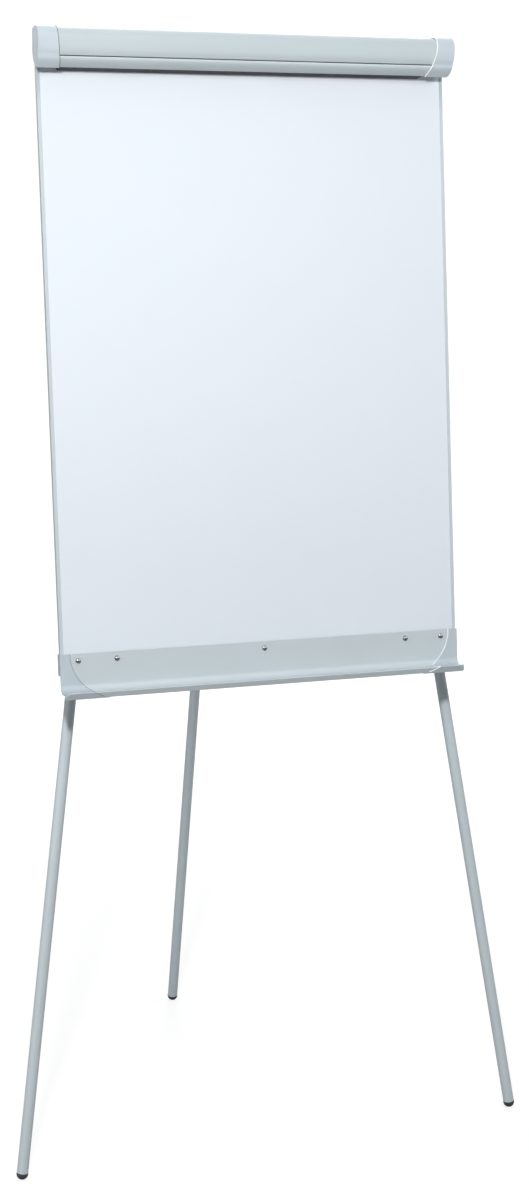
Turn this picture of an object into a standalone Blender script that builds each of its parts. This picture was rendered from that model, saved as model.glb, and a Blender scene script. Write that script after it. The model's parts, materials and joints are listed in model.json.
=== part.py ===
"""Flipchart easel: a writing board with a clamp bar and a pen tray on three telescopic tube legs.

Board parts are modelled upright in the board's own frame: x across, y the depth behind the
writing face, z up along the board. An empty leans that frame back. Leg parts are modelled in
their leg's frame, with the pivot at the origin and the leg hanging down -z.
The origin is on the floor, in the middle of the three feet's footprint; the front faces -y.
"""

import math

import bmesh
import bpy
from mathutils import Vector

# Driving dimensions, metres
BOARD_LEAN = math.radians(7.0)
BOARD_HALF_WIDTH = 0.350
BOARD_BOTTOM = 0.8435
BOARD_TOP = 1.862
FRAME_LIP = 0.0055
FRAME_FRONT = -0.0013
FRAME_BACK = 0.0135
GAP = 0.0003

LEG_PIVOT_X = 0.1882
LEG_PIVOT_Z = 1.775
LEG_DEPTH = 0.0265
LEG_SPLAY = math.radians(8.27)
REAR_PIVOT_DEPTH = 0.0445
REAR_OPEN = math.radians(20.42)

OUTER_TUBE_RADIUS = 0.0110
OUTER_TUBE_BORE = 0.0099
LOWER_TUBE_RADIUS = 0.0095
LOWER_TUBE_BORE = 0.0085
OUTER_TUBE_END = 0.870
LOWER_TUBE_START = 0.620
FOOT_RADIUS = 0.0099
FOOT_CENTRE_HEIGHT = 0.0086

TRAY_TOP = 0.8776
TRAY_BACK = -0.0016
TRAY_THICKNESS = 0.0018
TRAY_BEND_RADIUS = 0.0116
TRAY_SHELF_TOP = 0.8150
LIP_CORE = (-0.0350, 0.8130)
LIP = [
    (-0.0280, 0.8151),
    (-0.0330, 0.8158),
    (-0.0370, 0.8170),
    (-0.0384, 0.8174),
    (-0.0393, 0.8172),
    (-0.0397, 0.8163),
    (-0.0322, 0.8076),
    (-0.0313, 0.8070),
    (-0.0305, 0.8074),
    (-0.0301, 0.8088),
]
COVER_PROUD = 0.0012
COVER_SEAM = (0.3346, 0.0725)
COVER_CORNER_RADIUS = 0.012
TRAY_SCREW_X = (-0.321, -0.2553, 0.0, 0.2553, 0.321)
TRAY_SCREW_Z = 0.8662

BAR_BOTTOM = 1.8131
BAR_TOP = 1.877
BAR_CENTRE = (-0.0165, 1.846)
BAR_HALF_DEPTH = 0.0292
BAR_SQUARENESS = 2.6
BAR_WALL = 0.0018
BAR_BACK_EDGE = -0.0045
GROOVE_Z = 1.8305
GROOVE = [(0.0027, 0.0004), (0.0027, 0.0014), (0.0014, 0.0017), (-0.0005, 0.0036)]
UNDERCUT = [(-0.0007, 0.0055), (0.0002, 0.0085), (0.0019, 0.0115), (0.0042, 0.0143)]
UNDERCUT_BACK = 0.0075
CAP_PROUD = 0.0018
CAP_BACK = -0.0016
LEFT_CAP_SEAM = (0.3215, 1.0)
LEFT_CAP_END = (0.3537, 0.04)
RIGHT_CAP_SEAM = (0.3250, 0.110)
RIGHT_CAP_END = (0.3560, 0.217)
CLAMP_AXIS = (-0.0090, 1.8655)
LEAF = [
    (-0.0300, 0.0032),
    (-0.0230, 0.0062),
    (-0.0150, 0.0108),
    (-0.0085, 0.0168),
    (-0.0040, 0.0238),
    (CAP_BACK, 0.0328),
]
RAIL_BOTTOM = 1.829
RAIL_TOP = 1.858
RAIL_HALF_LENGTH = 0.300
HOOK_X = 0.235

TUBE_SIDES = 32
PIN_RADIUS = 0.0030
PIN_HOLE = 0.0033


def clear_scene():
    for item in list(bpy.data.objects):
        bpy.data.objects.remove(item)


def make_material(name, colour, roughness, metallic=0.0):
    material = bpy.data.materials.new(name)
    material.use_nodes = True
    shader = material.node_tree.nodes["Principled BSDF"]
    shader.inputs["Base Color"].default_value = (*colour, 1.0)
    shader.inputs["Roughness"].default_value = roughness
    shader.inputs["Metallic"].default_value = metallic
    return material


def make_empty(name, location, rotation, parent=None):
    empty = bpy.data.objects.new(name, None)
    bpy.context.scene.collection.objects.link(empty)
    empty.location = location
    empty.rotation_euler = rotation
    empty.parent = parent
    return empty


def mesh_from(bm, name):
    bmesh.ops.recalc_face_normals(bm, faces=bm.faces)
    mesh = bpy.data.meshes.new(name)
    bm.to_mesh(mesh)
    bm.free()
    return mesh


def add_object(name, mesh, material, parent=None, smooth_degrees=None):
    """Link a named object; smooth_degrees shades it smooth up to that edge angle."""
    item = bpy.data.objects.new(name, mesh)
    bpy.context.scene.collection.objects.link(item)
    item.parent = parent
    if material is not None and not mesh.materials:
        mesh.materials.append(material)
    if smooth_degrees is not None:
        mesh.shade_smooth()
        mesh.set_sharp_from_angle(angle=math.radians(smooth_degrees))
    return item


def prism(name, outline, axis, low, high):
    """Mesh of a closed outline extruded along an axis.

    The outline holds (y, z) pairs for axis X, (x, z) for Y and (x, y) for Z. low and high are
    distances along the axis, or functions of an outline point, which gives slanted ends.
    """
    place = {
        "X": lambda a, b, t: (t, a, b),
        "Y": lambda a, b, t: (a, t, b),
        "Z": lambda a, b, t: (a, b, t),
    }[axis]
    bm = bmesh.new()
    rings = []
    for end in (low, high):
        level = end if callable(end) else (lambda point, value=end: value)
        rings.append([bm.verts.new(place(*point, level(point))) for point in outline])
    count = len(outline)
    for i in range(count):
        j = (i + 1) % count
        bm.faces.new((rings[0][i], rings[0][j], rings[1][j], rings[1][i]))
    for ring in rings:
        bm.faces.new(ring)
    return mesh_from(bm, name)


def block(name, low, high):
    """Mesh of a box between two corners."""
    outline = [(low[0], low[1]), (high[0], low[1]), (high[0], high[1]), (low[0], high[1])]
    return prism(name, outline, "Z", low[2], high[2])


def lathe(name, profile, axis="Z", centre=(0.0, 0.0, 0.0), sides=TUBE_SIDES, ring=False):
    """Mesh of (radius, height) points turned about an axis through centre.

    A solid's profile starts and ends at radius 0; a ring's profile is a closed loop.
    """
    place = {
        "X": lambda a, b, t: (t, a, b),
        "Y": lambda a, b, t: (b, t, a),
        "Z": lambda a, b, t: (a, b, t),
    }[axis]
    bm = bmesh.new()
    rows = []
    for radius, height in profile:
        steps = sides if radius > 0 else 1
        row = []
        for k in range(steps):
            angle = 2 * math.pi * k / sides
            point = place(radius * math.cos(angle), radius * math.sin(angle), height)
            row.append(bm.verts.new(Vector(point) + Vector(centre)))
        rows.append(row)
    pairs = list(zip(rows, rows[1:]))
    if ring:
        pairs.append((rows[-1], rows[0]))
    for lower, upper in pairs:
        for k in range(sides):
            j = (k + 1) % sides
            if len(lower) == 1:
                corners = (lower[0], upper[j], upper[k])
            elif len(upper) == 1:
                corners = (lower[k], lower[j], upper[0])
            else:
                corners = (lower[k], lower[j], upper[j], upper[k])
            bm.faces.new(corners)
    return mesh_from(bm, name)


def cylinder(name, radius, low, high, axis="Z", centre=(0.0, 0.0, 0.0), sides=TUBE_SIDES):
    """Mesh of a solid cylinder from low to high along its axis."""
    return lathe(name, [(0, low), (radius, low), (radius, high), (0, high)], axis, centre, sides)


def pipe(name, radius, bore, low, high, sides=TUBE_SIDES):
    """Mesh of a tube along z."""
    loop = [(bore, low), (radius, low), (radius, high), (bore, high)]
    return lathe(name, loop, sides=sides, ring=True)


def arc(centre, radius, start, end, steps):
    """Points on an arc, angles in degrees."""
    points = []
    for i in range(steps + 1):
        angle = math.radians(start + (end - start) * i / steps)
        points.append(
            (centre[0] + radius * math.cos(angle), centre[1] + radius * math.sin(angle))
        )
    return points


def boolean(target, guide_mesh, operation="DIFFERENCE", location=(0, 0, 0), rotation=(0, 0, 0)):
    """Apply a guide shape, placed in the target's parent frame, to the target."""
    guide = add_object(guide_mesh.name, guide_mesh, None, target.parent)
    guide.location = location
    guide.rotation_euler = rotation
    guide.hide_render = True
    guide.display_type = "WIRE"
    modifier = target.modifiers.new(operation.title(), "BOOLEAN")
    modifier.operation = operation
    modifier.solver = "EXACT"
    modifier.object = guide


def bevel(target, width, segments=2, degrees=35.0):
    modifier = target.modifiers.new("Bevel", "BEVEL")
    modifier.width = width
    modifier.segments = segments
    modifier.limit_method = "ANGLE"
    modifier.angle_limit = math.radians(degrees)


# Board and frame


def panel(name, front, back, material, parent):
    """A flat layer of the board stack, drilled for the tray's screws where they enter it."""
    half = BOARD_HALF_WIDTH - 0.0023
    low = (-half, front, BOARD_BOTTOM + 0.0023)
    high = (half, back, BOARD_TOP - 0.0023)
    return add_object(name, block(name, low, high), material, parent)


def frame_profile(name, side, material, parent):
    """One mitred length of the C-shaped edge profile: left, right, top or bottom."""
    section = [
        (FRAME_LIP, FRAME_FRONT),
        (0.0, FRAME_FRONT),
        (0.0, 0.0095),
        (0.0010, 0.0095),
        (0.0010, FRAME_BACK),
        (0.0090, FRAME_BACK),
        (0.0090, 0.0120),
        (0.0020, 0.0120),
        (0.0020, -GAP),
        (FRAME_LIP, -GAP),
    ]
    mitre = 0.00025
    if side in ("left", "right"):
        sign = -1 if side == "left" else 1
        outline = [(sign * (BOARD_HALF_WIDTH - w), y) for w, y in section]

        def inset(point):
            return BOARD_HALF_WIDTH - abs(point[0]) + mitre

        mesh = prism(
            name,
            outline,
            "Z",
            lambda point: BOARD_BOTTOM + inset(point),
            lambda point: BOARD_TOP - inset(point),
        )
    else:
        edge = BOARD_TOP if side == "top" else BOARD_BOTTOM
        sign = -1 if side == "top" else 1
        outline = [(y, edge + sign * w) for w, y in section]

        def reach(point):
            return BOARD_HALF_WIDTH - abs(point[1] - edge) - mitre

        mesh = prism(name, outline, "X", lambda point: -reach(point), reach)
    return add_object(name, mesh, material, parent)


def build_board(board, paint, sheet_paint, core_material, back_material):
    sheet = panel("writing_sheet", 0.0, 0.0005, sheet_paint, board)
    core = panel("board_core", 0.0008, 0.0105, core_material, board)
    panel("back_sheet", 0.0108, 0.0112, back_material, board)
    for side in ("left", "right", "top", "bottom"):
        frame_profile(f"frame_{side}", side, paint, board)
    for layer, depth in ((sheet, 0.003), (core, 0.0092)):
        for i, x in enumerate(TRAY_SCREW_X):
            hole = cylinder(
                f"{layer.name}_hole_{i}", 0.0021, -0.002, depth, "Y", (x, 0, TRAY_SCREW_Z), 12
            )
            boolean(layer, hole)


# Pen tray


def tray_outline(proud=0.0):
    """Section of the J-shaped tray in (y, z); proud thickens the side that shows.

    The shelf rises to a crease at its front and turns back under in a slanting lip.
    """
    front = TRAY_BACK - TRAY_THICKNESS
    bend_y = front - TRAY_BEND_RADIUS
    bend_z = TRAY_SHELF_TOP + TRAY_BEND_RADIUS
    inner = TRAY_BEND_RADIUS - proud
    outer = TRAY_BEND_RADIUS + TRAY_THICKNESS
    shelf_bottom = TRAY_SHELF_TOP - TRAY_THICKNESS
    points = [(front - proud, TRAY_TOP)]
    points += arc((bend_y, bend_z), inner, 0, -90, 7)
    for y, z in LIP:
        length = math.hypot(y - LIP_CORE[0], z - LIP_CORE[1])
        points.append(
            (y + proud * (y - LIP_CORE[0]) / length, z + proud * (z - LIP_CORE[1]) / length)
        )
    points.append((LIP[-1][0] + 0.0004, shelf_bottom))
    points += arc((bend_y, bend_z), outer, -90, 0, 7)
    points.append((TRAY_BACK, TRAY_TOP))
    return points


def arc_seam(name, seam, top, side, keep):
    """Guide whose curved side is the seam between a long part and its end cover.

    seam is (x, radius): the seam runs straight down at x to the height top, then curls inwards
    on that radius. The guide takes away everything outside the seam to keep the 'long' part,
    and everything inside it, plus a working gap, to keep the 'cover'.
    """
    x, radius = seam
    reach = math.degrees(math.asin(min(0.08 / radius, 0.9998)))
    curve = [(x, top + 0.05)] + arc((x - radius, top), radius, 0, -reach, 20)
    edge = 0.45
    if keep == "cover":
        edge = 0.10
        curve = [(px + 0.0004, pz) for px, pz in curve]
    outline = curve + [(edge, curve[-1][1]), (edge, curve[0][1])]
    mesh = prism(name, outline, "Y", -0.09, 0.09)
    return mirror_mesh(mesh) if side == "left" else mesh


def mirror_mesh(mesh):
    """Turn a right-hand mesh into its left-hand twin."""
    for vertex in mesh.vertices:
        vertex.co.x = -vertex.co.x
    mesh.flip_normals()
    return mesh


def corner_round(name, corner, inward, radius, axis, low, high):
    """Guide that rounds a square edge running along an axis.

    corner is the edge in the guide's outline plane and inward the signs that lead into the part.
    """
    margin = 0.003
    centre = (corner[0] + inward[0] * radius, corner[1] + inward[1] * radius)
    outline = []
    for px, pz in arc((0, 0), radius, 0, 90, 8):
        outline.append((centre[0] - inward[0] * px, centre[1] - inward[1] * pz))
    outline.append((centre[0], corner[1] - inward[1] * margin))
    outline.append((corner[0] - inward[0] * margin, corner[1] - inward[1] * margin))
    outline.append((corner[0] - inward[0] * margin, centre[1]))
    return prism(name, outline, axis, low, high)


def build_tray(board, paint, plastic, chrome):
    tray = add_object(
        "pen_tray", prism("pen_tray", tray_outline(), "X", -0.345, 0.345), paint, board, 30
    )
    for side in ("right", "left"):
        boolean(tray, arc_seam(f"tray_seam_{side}", COVER_SEAM, TRAY_TOP, side, "long"))
    for i, x in enumerate(TRAY_SCREW_X):
        hole = cylinder(f"tray_hole_{i}", 0.0021, -0.01, 0.01, "Y", (x, 0, TRAY_SCREW_Z), 12)
        boolean(tray, hole)
    for side in ("right", "left"):
        build_tray_cover(board, side, plastic)
    for i, x in enumerate(TRAY_SCREW_X):
        build_tray_screw(board, f"tray_screw_{i + 1}", x, chrome)


def build_tray_cover(board, side, plastic):
    """Moulded corner that slips over the tray's end and wraps the frame's lower corner."""
    name = f"tray_cover_{side}"
    outer = BOARD_HALF_WIDTH + 0.0015
    body = prism(name, tray_outline(COVER_PROUD), "X", 0.26, outer)
    wall = block(
        f"{name}_wall",
        (BOARD_HALF_WIDTH + GAP, TRAY_BACK - TRAY_THICKNESS, BOARD_BOTTOM - 0.0015),
        (outer, FRAME_BACK, TRAY_TOP),
    )
    edge = (outer, min(y for y, z in LIP) - COVER_PROUD)
    corners = [
        corner_round(f"{name}_corner", edge, (-1, 1), COVER_CORNER_RADIUS, "Z", 0.795, 0.835)
    ]
    heights = [z for y, z in LIP]
    for label, sign, height in (("top", 1, max(heights)), ("bottom", -1, min(heights))):
        edge = (outer, height + sign * COVER_PROUD)
        corners.append(
            corner_round(f"{name}_{label}", edge, (-1, -sign), 0.0045, "Y", -0.060, -0.029)
        )
    if side == "left":
        for mesh in (body, wall, *corners):
            mirror_mesh(mesh)
    cover = add_object(name, body, plastic, board, 30)
    boolean(cover, wall, "UNION")
    for corner in corners:
        boolean(cover, corner)
    boolean(cover, arc_seam(f"{name}_seam", COVER_SEAM, TRAY_TOP, side, "cover"))


def build_tray_screw(board, name, x, chrome):
    """Pan-head screw with a cross recess, lying along the depth of the board."""
    seat = TRAY_BACK - TRAY_THICKNESS - GAP
    profile = [(0, 0.0085), (0.0018, 0.0085), (0.0018, seat), (0.0045, seat)]
    profile += [(0.0045, seat - 0.0007), (0.0040, seat - 0.0016), (0.0028, seat - 0.0023)]
    profile += [(0, seat - 0.0026)]
    screw = add_object(name, lathe(name, profile, "Y", (0, 0, 0), 24), chrome, board, 30)
    screw.location = (x, 0, TRAY_SCREW_Z)
    low = seat - 0.004
    high = seat - 0.0012
    for label, half in (("across", (0.0022, 0.0004)), ("down", (0.0004, 0.0022))):
        slot = block(f"{name}_{label}", (-half[0], low, -half[1]), (half[0], high, half[1]))
        boolean(screw, slot, location=screw.location)


# Clamp bar


def bar_curve(grow=0.0, steps=18):
    """Crown of the bar from its back edge over the top to the groove, in (y, z)."""
    half_depth = BAR_HALF_DEPTH + grow
    half_height = BAR_TOP - BAR_CENTRE[1] + grow
    power = 2 / BAR_SQUARENESS
    low = GROOVE_Z - BAR_CENTRE[1]
    start = math.acos((abs(BAR_BACK_EDGE - BAR_CENTRE[0]) / half_depth) ** (1 / power))
    end = -math.asin((abs(low) / half_height) ** (1 / power))
    points = []
    for i in range(steps + 1):
        angle = (math.pi - start) + (end - (math.pi - start)) * i / steps
        across = math.copysign(abs(math.cos(angle)) ** power, math.cos(angle))
        up = math.copysign(abs(math.sin(angle)) ** power, math.sin(angle))
        points.append((BAR_CENTRE[0] - half_depth * across, BAR_CENTRE[1] + half_height * up))
    return points


def bar_outline():
    """Outer line of the bar: crown, groove, and a lower strip that curves back under."""
    points = bar_curve()
    front = points[-1][0]
    for back, drop in GROOVE + UNDERCUT:
        points.append((front + back, GROOVE_Z - drop))
    points.append((front + UNDERCUT_BACK, BAR_BOTTOM))
    return points


def cap_outline(grow):
    """Crown of an end cap and its front, which runs on down without the groove."""
    points = bar_curve(grow)
    front = points[-1][0]
    for back, drop in UNDERCUT:
        points.append((front + back + 0.0005, GROOVE_Z - drop))
    points.append((front + UNDERCUT_BACK + 0.0013, BAR_BOTTOM - CAP_PROUD))
    return points


def build_clamp_cover(board, paint):
    """Extruded cover: a curved shell with two inward flanges that hold the jaw strip."""
    outline = bar_outline()
    crown = bar_curve()[-1][0]
    front = outline[-1][0]
    outline.append((front + 0.0040, BAR_BOTTOM))
    outline.append((front + 0.0040, BAR_BOTTOM + 0.0015))
    outline.append((front + BAR_WALL, BAR_BOTTOM + 0.0015))
    outline.append((front + BAR_WALL, BAR_BOTTOM + 0.0056))
    outline.append((-0.0120, BAR_BOTTOM + 0.0056))
    outline.append((-0.0120, BAR_BOTTOM + 0.0071))
    outline.append((crown + 0.0032, BAR_BOTTOM + 0.0071))
    outline.append((crown + 0.0022, GROOVE_Z - 0.0056))
    outline.append((crown + 0.0044, GROOVE_Z - 0.0030))
    outline.append((crown + 0.0044, GROOVE_Z + 0.0020))
    outline += list(reversed(bar_curve(-BAR_WALL, 14)))[1:]
    mesh = prism("clamp_cover", outline, "X", -0.335, 0.335)
    cover = add_object("clamp_cover", mesh, paint, board, 25)
    for side, seam in (("left", LEFT_CAP_SEAM), ("right", RIGHT_CAP_SEAM)):
        boolean(cover, arc_seam(f"clamp_cover_seam_{side}", seam, BAR_TOP, side, "long"))


def build_clamp_cap(board, side, plastic):
    """End cap, open below and behind, with a leaf-shaped end plate and a boss for the rod."""
    name = f"clamp_cap_{side}"
    low_z = BAR_BOTTOM - CAP_PROUD
    outline = cap_outline(CAP_PROUD)
    foot = outline[-1][0] + 0.0024
    outline.append((foot, low_z))
    for y, rise in LEAF:
        outline.append((y, low_z + rise))
    outline.append((CAP_BACK, outline[0][1] - 0.0010))
    if side == "left":
        x, flare = LEFT_CAP_END
        inner, seam, plate = 0.310, LEFT_CAP_SEAM, (0.3500, 0.3500)

        def end(point):
            return x + flare * (BAR_TOP - point[1])

    else:
        end = 0.3575
        inner, seam, plate = 0.290, RIGHT_CAP_SEAM, (0.3415, 0.3530)
    body = prism(name, outline, "X", inner, end)

    cavity = cap_outline(CAP_PROUD - BAR_WALL - 0.0002)
    cavity[-1] = (foot - 0.0002, low_z + 0.0010)
    cavity.append((foot - 0.0002, BAR_BOTTOM - 0.01))
    cavity += [(0.01, BAR_BOTTOM - 0.01), (0.01, cavity[0][1])]
    rise = (plate[1] - plate[0]) / (BAR_TOP - BAR_BOTTOM)
    hollow = prism(
        f"{name}_hollow",
        cavity,
        "X",
        inner - 0.01,
        lambda point: plate[0] + rise * (point[1] - BAR_BOTTOM),
    )
    boss = cylinder(f"{name}_boss", 0.0050, 0.334, 0.3520, "X", (0, *CLAMP_AXIS), 20)
    bore = cylinder(f"{name}_bore", 0.0023, 0.290, 0.3505, "X", (0, *CLAMP_AXIS), 16)
    if side == "left":
        for mesh in (body, hollow, boss, bore):
            mirror_mesh(mesh)
    cap = add_object(name, body, plastic, board, 25)
    boolean(cap, hollow)
    boolean(cap, boss, "UNION")
    boolean(cap, bore)
    boolean(cap, arc_seam(f"{name}_seam", seam, BAR_TOP, side, "cover"))
    if side == "right":
        boolean(cap, arc_seam(f"{name}_end", RIGHT_CAP_END, BAR_TOP, side, "long"))
        edge = (0.3468, low_z)
        round_off = corner_round(f"{name}_corner", edge, (-1, 1), 0.005, "Y", -0.06, 0.01)
        boolean(cap, round_off)


def build_clamp_rail(board, metal):
    """Fixed rail: a C-shaped slot that the pad hooks slide in, and lugs that carry the rod."""
    base = (TRAY_BACK, TRAY_BACK - 0.0015)
    lip = (-0.0065, -0.0080)
    bottom, top = RAIL_BOTTOM, RAIL_TOP
    outline = [
        (base[0], bottom),
        (lip[1], bottom),
        (lip[1], bottom + 0.0035),
        (lip[0], bottom + 0.0035),
        (lip[0], bottom + 0.0015),
        (base[1], bottom + 0.0015),
        (base[1], top - 0.0015),
        (lip[0], top - 0.0015),
        (lip[0], top - 0.0035),
        (lip[1], top - 0.0035),
        (lip[1], top),
        (base[0], top),
    ]
    rail = add_object(
        "clamp_rail",
        prism("clamp_rail", outline, "X", -RAIL_HALF_LENGTH, RAIL_HALF_LENGTH),
        metal,
        board,
    )
    for i, x in enumerate((-0.272, -0.09, 0.09, 0.272)):
        low = (x - 0.005, -0.0130, top - 0.0010)
        high = (x + 0.005, TRAY_BACK, CLAMP_AXIS[1] + 0.0040)
        boolean(rail, block(f"rail_lug_{i}", low, high), "UNION")
    bore = cylinder("rail_bore", 0.0023, -0.295, 0.295, "X", (0, *CLAMP_AXIS), 16)
    boolean(rail, bore)


def build_clamp_spring(board, side, steel):
    """Torsion spring on the rod: one end bears on the rail, the other pushes the cover shut."""
    sign = -1 if side == "left" else 1
    mean_radius = 0.0036
    turns = 4
    steps = 12
    pitch = 0.0015
    axis_y, axis_z = CLAMP_AXIS
    start_x = 0.254
    points = [(start_x, axis_y + mean_radius, RAIL_TOP + 0.0012)]
    for i in range(turns * steps + steps // 2 + 1):
        angle = 2 * math.pi * i / steps
        points.append(
            (
                start_x + pitch * i / steps,
                axis_y + mean_radius * math.cos(angle),
                axis_z + mean_radius * math.sin(angle),
            )
        )
    points.append((points[-1][0], axis_y - 0.0270, axis_z - 0.0150))
    name = f"clamp_spring_{side}"
    curve = bpy.data.curves.new(name, "CURVE")
    curve.dimensions = "3D"
    curve.bevel_depth = 0.0006
    curve.bevel_resolution = 1
    curve.use_fill_caps = True
    spline = curve.splines.new("POLY")
    spline.points.add(len(points) - 1)
    for target, point in zip(spline.points, points):
        target.co = (sign * point[0], point[1], point[2], 1.0)
    curve.materials.append(steel)
    item = bpy.data.objects.new(name, curve)
    bpy.context.scene.collection.objects.link(item)
    item.parent = board


def build_pad_hook(board, side, plastic):
    """Sliding hook: a tongue in the rail's slot, a face plate and an upturned peg."""
    name = f"pad_hook_{side}"
    bottom, top = RAIL_BOTTOM, RAIL_TOP
    outline = [
        (-0.0034, bottom + 0.0018),
        (-0.0034, top - 0.0018),
        (-0.0062, top - 0.0018),
        (-0.0062, top - 0.0040),
        (-0.0083, top - 0.0040),
        (-0.0083, top - 0.0020),
        (-0.0100, top - 0.0020),
        (-0.0100, bottom + 0.0020),
        (-0.0083, bottom + 0.0020),
        (-0.0083, bottom + 0.0040),
        (-0.0062, bottom + 0.0040),
        (-0.0062, bottom + 0.0018),
    ]
    hook = add_object(name, prism(name, outline, "X", -0.011, 0.011), plastic, board)
    hook.location.x = -HOOK_X if side == "left" else HOOK_X
    middle = (bottom + top) / 2
    peg = [
        (-0.0095, middle - 0.0025),
        (-0.0200, middle - 0.0025),
        (-0.0215, middle - 0.0005),
        (-0.0215, middle + 0.0065),
        (-0.0185, middle + 0.0065),
        (-0.0185, middle + 0.0015),
        (-0.0095, middle + 0.0015),
    ]
    boolean(hook, prism(f"{name}_peg", peg, "X", -0.003, 0.003), "UNION", hook.location)


def build_clamp(board, paint, plastic, rubber, metal, steel):
    build_clamp_cover(board, paint)
    front = bar_outline()[-1][0]
    strip = [
        (-0.0006, BAR_BOTTOM + GAP),
        (front + 0.0043, BAR_BOTTOM + GAP),
        (front + 0.0043, BAR_BOTTOM + 0.0018),
        (front + BAR_WALL + GAP, BAR_BOTTOM + 0.0018),
        (front + BAR_WALL + GAP, BAR_BOTTOM + 0.0053),
        (-0.0006, BAR_BOTTOM + 0.0053),
    ]
    add_object("jaw_strip", prism("jaw_strip", strip, "X", -0.3172, 0.3032), rubber, board)
    for side in ("left", "right"):
        build_clamp_cap(board, side, plastic)
        build_clamp_spring(board, side, steel)
        build_pad_hook(board, side, plastic)
    rod = cylinder("clamp_rod", 0.0020, -0.350, 0.350, "X", (0, *CLAMP_AXIS), 16)
    add_object("clamp_rod", rod, steel, board, 30)
    build_clamp_rail(board, metal)


# Brackets behind the board


def build_crosshead(board, metal, steel, rubber):
    """Cross bar that carries the three leg pivots near the top of the board."""
    outline = [
        (0.0117, LEG_PIVOT_Z - 0.023),
        (0.0137, LEG_PIVOT_Z - 0.023),
        (0.0137, LEG_PIVOT_Z + 0.023),
        (0.0220, LEG_PIVOT_Z + 0.023),
        (0.0220, LEG_PIVOT_Z + 0.025),
        (0.0117, LEG_PIVOT_Z + 0.025),
    ]
    half = LEG_PIVOT_X + 0.027
    bar = add_object("leg_crosshead", prism("leg_crosshead", outline, "X", -half, half), metal, board)
    for side, x in (("left", -LEG_PIVOT_X), ("right", LEG_PIVOT_X)):
        centre = (x, 0, LEG_PIVOT_Z)
        boolean(bar, cylinder(f"crosshead_hole_{side}", PIN_HOLE, 0.005, 0.03, "Y", centre, 16))
        build_pivot_bolt(board, f"leg_pivot_bolt_{side}", centre, steel)
    for side, x in (("left", -0.09), ("right", 0.09)):
        centre = (x, 0, LEG_PIVOT_Z)
        boolean(bar, cylinder(f"crosshead_bore_{side}", 0.0024, 0.005, 0.03, "Y", centre, 12))
        build_crosshead_screw(board, f"crosshead_screw_{side}", centre, steel)
    build_rear_bracket(board, metal, steel, rubber)


def build_pivot_bolt(board, name, centre, steel):
    """Hex-head bolt that a front leg swings on."""
    head = LEG_DEPTH + OUTER_TUBE_RADIUS + GAP
    hexagon = []
    for i in range(6):
        angle = math.radians(60 * i)
        hexagon.append((0.0062 * math.cos(angle), 0.0062 * math.sin(angle)))
    bolt = add_object(name, prism(name, hexagon, "Y", head, head + 0.0042), steel, board)
    bolt.location = centre
    shank = cylinder(f"{name}_shank", PIN_RADIUS, 0.0119, head + 0.001, "Y", (0, 0, 0), 20)
    boolean(bolt, shank, "UNION", location=centre)


def build_crosshead_screw(board, name, centre, steel):
    """Countersink-free screw that holds the cross bar to the board."""
    seat = 0.0137 + GAP
    profile = [(0, 0.0119), (0.0020, 0.0119), (0.0020, seat), (0.0045, seat)]
    profile += [(0.0045, seat + 0.0009), (0.0032, seat + 0.0020), (0, seat + 0.0024)]
    screw = add_object(name, lathe(name, profile, "Y", (0, 0, 0), 20), steel, board, 30)
    screw.location = centre


def build_rear_bracket(board, metal, steel, rubber):
    """U-shaped bracket with a hinge pin, and the stop pad that sets the rear leg's angle."""
    base, plate = 0.0140, 0.0160
    cheek_in, cheek_out, flange, tip = 0.0147, 0.0167, 0.027, 0.0560
    outline = [
        (-flange, base),
        (flange, base),
        (flange, plate),
        (cheek_out, plate),
        (cheek_out, tip),
        (cheek_in, tip),
        (cheek_in, plate),
        (-cheek_in, plate),
        (-cheek_in, tip),
        (-cheek_out, tip),
        (-cheek_out, plate),
        (-flange, plate),
    ]
    mesh = prism("rear_leg_bracket", outline, "Z", LEG_PIVOT_Z - 0.016, LEG_PIVOT_Z + 0.018)
    bracket = add_object("rear_leg_bracket", mesh, metal, board)
    centre = (0, REAR_PIVOT_DEPTH, LEG_PIVOT_Z)
    boolean(bracket, cylinder("bracket_hole", PIN_HOLE, -0.03, 0.03, "X", centre, 16))
    head = cheek_out + GAP
    profile = [(0, -0.0190), (PIN_RADIUS, -0.0190), (PIN_RADIUS, head), (0.0055, head)]
    profile += [(0.0055, head + 0.0020), (0.0045, head + 0.0028), (0, head + 0.0030)]
    pin = lathe("rear_hinge_pin", profile, "X", centre, 20)
    add_object("rear_hinge_pin", pin, steel, board, 30)
    pad = block(
        "rear_stop_pad",
        (-0.010, plate + GAP, LEG_PIVOT_Z + 0.0030),
        (0.010, 0.0268, LEG_PIVOT_Z + 0.0150),
    )
    add_object("rear_stop_pad", pad, rubber, board)


def build_leg_guide(board, side, metal):
    """Hat-shaped strap that keeps a front leg close to the board while it swings."""
    low_z, high_z = 0.975, 0.995
    reach = (LEG_PIVOT_Z - low_z) * math.tan(LEG_SPLAY)
    inner = LEG_PIVOT_X - OUTER_TUBE_RADIUS - 0.0012
    outer = LEG_PIVOT_X + reach + OUTER_TUBE_RADIUS / math.cos(LEG_SPLAY) + GAP
    wall, foot = 0.0015, 0.015
    base, back = 0.0117, LEG_DEPTH + OUTER_TUBE_RADIUS + 0.0010
    outline = [
        (inner - foot, base),
        (inner, base),
        (inner, back),
        (outer, back),
        (outer, base),
        (outer + foot, base),
        (outer + foot, base + wall),
        (outer + wall, base + wall),
        (outer + wall, back + wall),
        (inner - wall, back + wall),
        (inner - wall, base + wall),
        (inner - foot, base + wall),
    ]
    mesh = prism(f"leg_guide_{side}", outline, "Z", low_z, high_z)
    if side == "left":
        mirror_mesh(mesh)
    add_object(f"leg_guide_{side}", mesh, metal, board)


# Legs


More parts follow.
